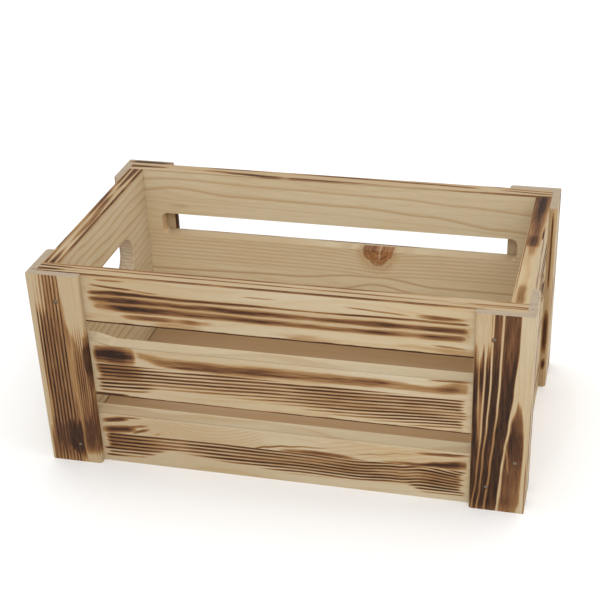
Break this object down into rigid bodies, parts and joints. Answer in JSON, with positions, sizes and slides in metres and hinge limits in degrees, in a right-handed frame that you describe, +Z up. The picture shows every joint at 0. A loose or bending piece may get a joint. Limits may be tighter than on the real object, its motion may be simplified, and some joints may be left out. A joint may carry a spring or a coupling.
{
  "type": "apple crate",
  "caption": "Open wooden apple crate with slotted long sides, hand holes in the ends, angle corner posts and a solid floor.",
  "frame": {"origin": "centre of the footprint, on the surface the crate stands on", "axes": "+X along the long sides, towards the right-hand end; -Y out of the front panel; +Z up, out of the open top"},
  "size_m": [0.4, 0.237, 0.1775],
  "materials": {
    "flamed_panel": "planed pine with torch-burnt bands along the grain on the outside, bare inside",
    "flamed_end_board": "planed pine, torch-burnt outside and on the top edge, bare inside",
    "floor_wood": "smooth bare wood",
    "flamed_post": "planed pine moulding, heavily torch-burnt along the grain",
    "nail_steel": "dull wire nail, slightly heat-darkened"
  },
  "bodies": {
    "root": {"front_panel": "flamed_panel", "back_panel": "flamed_panel", "left_end_board": "flamed_end_board", "right_end_board": "flamed_end_board", "floor_board": "floor_wood", "post_front_left": "flamed_post", "post_front_right": "flamed_post", "post_back_left": "flamed_post", "post_back_right": "flamed_post", "post_nails_front": "nail_steel", "post_nails_back": "nail_steel", "end_board_nail": "nail_steel"}
  },
  "joints": []
}
